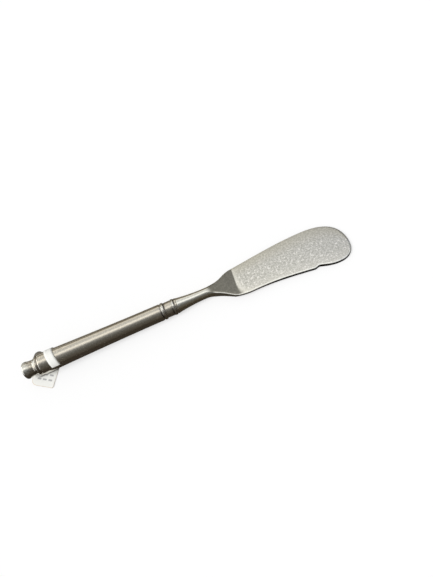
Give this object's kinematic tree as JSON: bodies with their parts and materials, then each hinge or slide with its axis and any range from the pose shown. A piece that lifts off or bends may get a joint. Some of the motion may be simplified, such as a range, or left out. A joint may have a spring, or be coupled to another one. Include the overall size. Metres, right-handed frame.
{
  "type": "canape knife",
  "caption": "Small flat spreader with a notched blade edge, a round neck, a ringed collar, a flared round handle with a turned end cap, and a paper price tag looped round it.",
  "frame": {"origin": "centre of the end cap's flat end", "axes": "+X along the knife from the end cap to the blade's tip, +Z out of the blade's upper face, -Y the side with the notched edge"},
  "size_m": [0.1479, 0.0201, 0.0103],
  "materials": {
    "blade_steel": "tumbled satin",
    "collar_steel": "tumbled satin",
    "handle_steel": "tumbled satin",
    "cap_steel": "tumbled satin",
    "cement": "rough",
    "loop_paper": "smooth matte",
    "leaf_paper": "smooth matte",
    "tail_paper": "smooth matte"
  },
  "bodies": {
    "knife": {"blade": "blade_steel", "collar": "collar_steel", "handle_tube": "handle_steel", "end_cap": "cap_steel", "handle_filler": "cement"},
    "tag_loop": {"tag_loop": "loop_paper"},
    "tag_leaf": {"tag_leaf": "leaf_paper", "tag_tail": "tail_paper"}
  },
  "joints": [
    {"name": "tag_slide", "type": "slide", "parent": "knife", "child": "tag_loop", "axis": [1, 0, 0], "range_m": [-0.003, 0.045]},
    {"name": "tag_turn", "type": "hinge", "parent": "tag_loop", "child": "tag_leaf", "pos_m": [0.01295, 0, 0], "axis": [1, 0, 0], "continuous": true}
  ]
}
